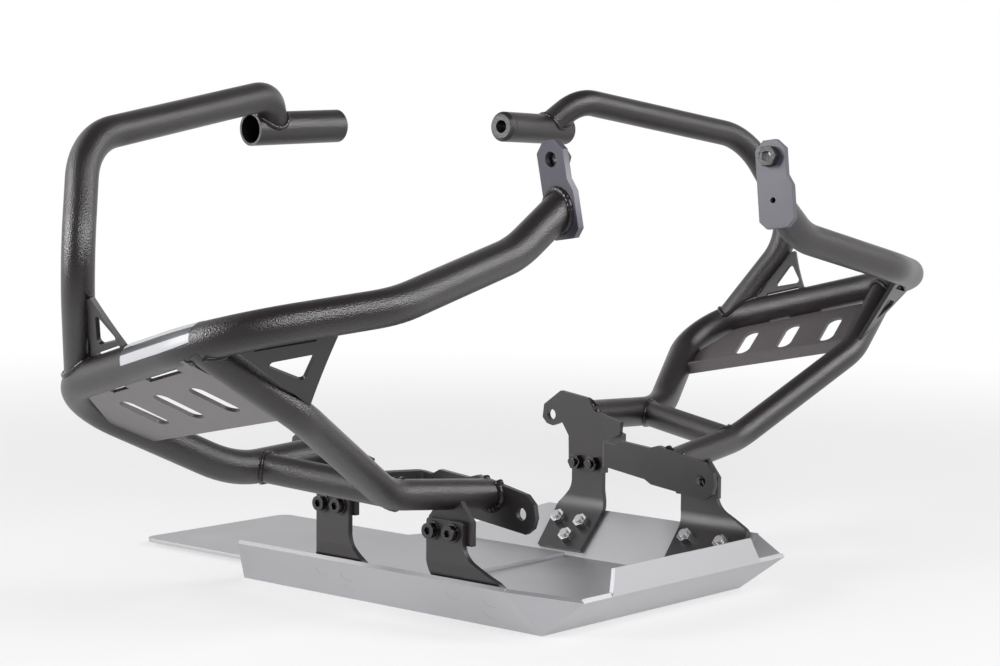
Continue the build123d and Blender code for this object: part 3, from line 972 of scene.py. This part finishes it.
@dataclass
class Studio:
    """Pale floor, white surroundings, soft boxes and the camera."""

    floor_size: float = 14.0
    # The floor lies a little under the pan, so that the two faces don't meet
    floor_drop: float = 0.0002
    floor_colour: str = "#ECECED"
    # Share of plain white in the floor at clear_from. It is all white from clear_to on.
    floor_glow: float = 0.6
    clear_from: float = 0.6
    clear_to: float = 2.2
    # Direction in which the photographer stands, how far that way the mirrored floor and the room
    # start and stop dimming, and how much light is left there
    dark_side: Point = (-0.753, -0.658, 0.0)
    floor_dim: Span = (0.25, 1.0)
    room_dim: Span = (-0.35, 0.6)
    dark_light: float = 0.28
    # Strength at which the room lights the set, the sines of the heights between which the white
    # walls turn into a grey ceiling, and the ceiling's strength
    room_light: float = 0.42
    wall_top: float = 0.20
    ceiling_from: float = 0.75
    ceiling_light: float = 0.18
    # The camera as solved from the photograph, whose width is picture_px
    camera_place: Point = (-1.590, -1.470, 0.421)
    azimuth_deg: float = 48.86
    pitch_deg: float = 5.23
    roll_deg: float = 0.55
    focal_px: float = 2369.0
    picture_px: int = 1000
    sensor_mm: float = 36.0
    lamps: tuple[Lamp, ...] = (
        Lamp("left_soft_box", (-1.90, 1.00, 0.95), (1.0, 1.3), 40.0),
        Lamp("front_soft_box", (-0.75, -1.95, 1.35), (1.1, 1.0), 27.0),
        Lamp("right_soft_box", (0.85, -1.80, 1.32), (1.1, 1.0), 27.0),
        Lamp("back_soft_box", (-0.75, 1.65, 1.70), (2.0, 1.2), 8.0, (0.0, 0.0, 0.10)),
    )

    def build(self) -> None:
        """Set the whole stage."""
        self._floor()
        self._room()
        for lamp in self.lamps:
            lamp.build()
        self._camera()
        bpy.context.scene.view_settings.view_transform = "Standard"

    def _floor(self) -> None:
        """Lay the floor: it takes the shadow near the object and is plain white further out."""
        bpy.ops.object.select_all(action="DESELECT")
        bpy.ops.mesh.primitive_plane_add(size=self.floor_size, location=(0, 0, 0))
        floor = bpy.context.object
        floor.name = "studio_floor"
        floor.data.transform(Matrix.Translation((0, 0, -self.floor_drop)))
        material = bpy.data.materials.new("studio_floor_paper")
        material.use_nodes = True
        tree = material.node_tree
        tree.nodes.clear()
        place = add_node(tree, "ShaderNodeTexCoord").outputs["Object"]
        reach = add_node(tree, "ShaderNodeVectorMath", {"operation": "LENGTH"}, {0: place})
        fade = add_node(
            tree, "ShaderNodeMapRange",
            {
                "interpolation_type": "SMOOTHSTEP",
                "From Min": self.clear_from, "From Max": self.clear_to,
                "To Min": self.floor_glow,
            },
            {"Value": reach.outputs["Value"]},
        )
        clear = add_node(
            tree, "ShaderNodeMath", {"operation": "MULTIPLY"},
            {0: fade.outputs[0], 1: self._seen(tree)},
        )
        paper = add_node(tree, "ShaderNodeBsdfDiffuse", {"Color": linear(self.floor_colour)})
        # The white paper ends towards the photographer, and mirrored light falls off beyond its end
        straight = add_node(tree, "ShaderNodeLightPath").outputs["Is Camera Ray"]
        glow = add_node(
            tree, "ShaderNodeMath", {"operation": "MAXIMUM"},
            {0: self._dim(tree, place, self.floor_dim), 1: straight},
        )
        white = add_node(
            tree, "ShaderNodeEmission", {"Color": WHITE}, {"Strength": glow.outputs[0]},
        )
        both = add_node(
            tree, "ShaderNodeMixShader", {},
            {0: clear.outputs[0], 1: paper.outputs[0], 2: white.outputs[0]},
        )
        add_node(tree, "ShaderNodeOutputMaterial", {}, {"Surface": both.outputs[0]})
        paint(floor, material)

    def _room(self) -> None:
        """Surround the stage with white walls, a grey ceiling and the photographer's dim side."""
        world = bpy.data.worlds.new("white_room")
        world.use_nodes = True
        bpy.context.scene.world = world
        tree = world.node_tree
        tree.nodes.clear()
        ray = add_node(tree, "ShaderNodeTexCoord").outputs["Generated"]
        height = add_node(tree, "ShaderNodeSeparateXYZ", {}, {0: ray}).outputs["Z"]
        walls = add_node(
            tree, "ShaderNodeMapRange",
            {
                "interpolation_type": "SMOOTHSTEP",
                "From Min": self.wall_top, "From Max": self.ceiling_from,
                "To Min": 1.0, "To Max": self.ceiling_light,
            },
            {"Value": height},
        )
        shell = add_node(
            tree, "ShaderNodeMath", {"operation": "MULTIPLY"},
            {0: walls.outputs[0], 1: self._dim(tree, ray, self.room_dim)},
        )
        level = add_node(
            tree, "ShaderNodeMapRange", {"To Min": self.room_light, "To Max": 1.0},
            {"Value": self._seen(tree)},
        )
        light = add_node(
            tree, "ShaderNodeMath", {"operation": "MULTIPLY"},
            {0: shell.outputs[0], 1: level.outputs[0]},
        )
        straight = add_node(tree, "ShaderNodeLightPath").outputs["Is Camera Ray"]
        strength = add_node(
            tree, "ShaderNodeMath", {"operation": "MAXIMUM"}, {0: light.outputs[0], 1: straight},
        )
        room = add_node(
            tree, "ShaderNodeBackground", {"Color": WHITE}, {"Strength": strength.outputs[0]},
        )
        add_node(tree, "ShaderNodeOutputWorld", {}, {"Surface": room.outputs[0]})

    def _dim(
        self, tree: bpy.types.NodeTree, place: bpy.types.NodeSocket, span: Span
    ) -> bpy.types.NodeSocket:
        """Add the fall of light towards the side where the photographer stands.

        Args:
            tree: Node tree of the floor or the room.
            place: Socket with a point of the floor or a direction in the room.
            span: How far towards that side the fall starts and ends.

        Returns:
            The socket with the share of light that is left.
        """
        nearness = add_node(
            tree, "ShaderNodeVectorMath", {"operation": "DOT_PRODUCT", 1: self.dark_side},
            {0: place},
        )
        fall = add_node(
            tree, "ShaderNodeMapRange",
            {
                "interpolation_type": "SMOOTHSTEP", "From Min": span[0], "From Max": span[1],
                "To Min": 1.0, "To Max": self.dark_light,
            },
            {"Value": nearness.outputs["Value"]},
        )
        return fall.outputs[0]

    def _seen(self, tree: bpy.types.NodeTree) -> bpy.types.NodeSocket:
        """Add the test for rays from the camera, straight or by way of a mirror or glass.

        Args:
            tree: Node tree of the floor or the room.

        Returns:
            The socket that is one for such a ray and nought for another.
        """
        path = add_node(tree, "ShaderNodeLightPath")
        bent = add_node(
            tree, "ShaderNodeMath", {"operation": "MAXIMUM"},
            {0: path.outputs["Is Glossy Ray"], 1: path.outputs["Is Transmission Ray"]},
        )
        seen = add_node(
            tree, "ShaderNodeMath", {"operation": "MAXIMUM"},
            {0: path.outputs["Is Camera Ray"], 1: bent.outputs[0]},
        )
        return seen.outputs[0]

    def _camera(self) -> None:
        """Stand the camera where the photograph was taken from."""
        data = bpy.data.cameras.new("photo_camera")
        data.sensor_fit = "HORIZONTAL"
        data.sensor_width = self.sensor_mm
        data.lens = self.focal_px * self.sensor_mm / self.picture_px
        camera = bpy.data.objects.new("photo_camera", data)
        bpy.context.scene.collection.objects.link(camera)
        turn, dip, roll = (
            math.radians(angle) for angle in (self.azimuth_deg, self.pitch_deg, self.roll_deg)
        )
        ahead = Vector((
            math.sin(turn) * math.cos(dip), math.cos(turn) * math.cos(dip), -math.sin(dip),
        ))
        level = ahead.cross(Vector((0, 0, 1))).normalized()
        right = level * math.cos(roll) + level.cross(ahead) * math.sin(roll)
        up = right.cross(ahead)
        axes = Matrix((right, up, -ahead)).transposed()
        camera.matrix_world = Matrix.Translation(self.camera_place) @ axes.to_4x4()
        bpy.context.scene.camera = camera


@dataclass
class CrashBars:
    """The whole set: which finish each CAD node takes, and the pieces added to it."""

    nodes: dict[str, bpy.types.Object]
    powder: PowderCoat = PowderCoat()
    plate: PlateCoat = PlateCoat()
    # Lighter, bluer copy of the plate coat: partly the mount plates' own paler tone, partly painted
    # reflection of the white walls
    mount_tone_and_painted_reflection: PlateCoat = PlateCoat(
        "powder_coat_mount_plate", colour="#42414E", smear="#474653",
    )
    # Lighter warm grey copy of the plate coat: partly the guard plate's own tone, partly painted
    # reflection of the white floor
    guard_tone_and_painted_reflection: PlateCoat = PlateCoat(
        "powder_coat_guard_plate", colour="#5E595B", smear="#635E60",
    )
    aluminium: BlastedAluminium = BlastedAluminium()
    black: FastenerSteel = FastenerSteel(
        "black_oxide_steel", "black_fasteners", "#4A484A", "#555355", (0.23, 0.30),
    )
    zinc: FastenerSteel = FastenerSteel(
        "zinc_plated_steel", "zinc_fasteners", "#CACBCC", "#C2C2BF", (0.21, 0.28),
    )
    weld: WeldSkin = WeldSkin()
    vinyl: LabelVinyl = LabelVinyl()
    tubes: tuple[str, ...] = (
        "main_tube", "upper_loop_tube", "stub_tube", "diagonal_tube", "cross_tube",
    )
    coated_plates: tuple[str, ...] = (
        "upper_mount_plate", "lower_mount_bracket", "rear_hanger_tab", "guard_plate",
        "loop_gusset", "side_gusset", "front_hanger", "rear_hanger",
    )
    coated_turnings: tuple[str, ...] = ("stub_plug", "mount_nut")
    black_fasteners: tuple[str, ...] = ("hanger_bolts", "hanger_washers", "hanger_nuts")
    zinc_fasteners: tuple[str, ...] = ("stud_nuts",)
    sheet_fasteners: tuple[str, ...] = ("flange_studs",)
    plate_edge_mm: float = 0.5
    fastener_edge_mm: float = 0.4
    sheet_edge_mm: float = 0.6
    sheet_fold_mm: float = 4.0

    def build(self) -> None:
        """Build and dress every piece in turn."""
        powder, plate, aluminium = self.powder.make(), self.plate.make(), self.aluminium.make()
        black, zinc = self.black.make(), self.zinc.make()
        # The mount and guard plates take their lighter copies, whose lightness is partly painted
        # reflection
        plate_tones_and_painted_reflection = {
            "upper_mount_plate": self.mount_tone_and_painted_reflection.make(), "guard_plate": self.guard_tone_and_painted_reflection.make(),
        }
        weld, vinyl = self.weld.make(), self.vinyl.make()
        kinds = (
            (self.coated_plates, self.plate_edge_mm, plate, self.plate.slot),
            (self.coated_turnings, self.fastener_edge_mm, powder, self.powder.slot),
            (self.black_fasteners, self.fastener_edge_mm, black, self.black.slot),
            (self.zinc_fasteners, self.fastener_edge_mm, zinc, self.zinc.slot),
            (self.sheet_fasteners, self.fastener_edge_mm, aluminium, self.zinc.slot),
        )
        for side in Side:
            for name in self.tubes:
                paint(self.nodes[side.node(name)], powder)
                log.info("painted %s", side.node(name))
            for names, edge_mm, finish, slot in kinds:
                for name in names:
                    self._ease(side.node(name), edge_mm, 0.0, plate_tones_and_painted_reflection.get(name, finish), slot)
            beads = WeldBeads(side, self.nodes)
            piece = beads.build()
            beads.dress(piece, weld)
            log.info("welded %s", piece.name)
        sheet = self.aluminium.slot
        self._ease("skid_pan", self.sheet_edge_mm, self.sheet_fold_mm, aluminium, sheet)
        self._ease("skid_front_sheet", self.sheet_edge_mm, 0.0, aluminium, sheet)
        label = TubeLabel(Side.LEFT)
        piece = label.build(self.nodes[label.side.node("main_tube")])
        label.dress(piece, vinyl)
        log.info("stuck on %s", piece.name)

    def _ease(
        self, node: str, edge_mm: float, fold_mm: float, finish: bpy.types.Material, slot: str
    ) -> None:
        """Ease one node's edges and dress the result.

        Args:
            node: The CAD node's name.
            edge_mm: Width of the eased edges.
            fold_mm: Width of the rounded folds, or nought where there are none.
            finish: The material.
            slot: The record's material slot. It is not used.
        """
        rounded = RoundedPiece(node, edge_mm, fold_mm)
        piece = rounded.build(self.nodes[node])
        rounded.dress(piece, finish, slot)
        log.info("eased %s: %d faces", node, len(piece.data.polygons))


def main() -> None:
    """Load the frame, build the set and its stage."""
    logging.basicConfig(level=logging.INFO, format="%(name)s: %(message)s")
    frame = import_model()
    CrashBars(frame["nodes"]).build()
    Studio().build()


if __name__ == "__main__":
    main()
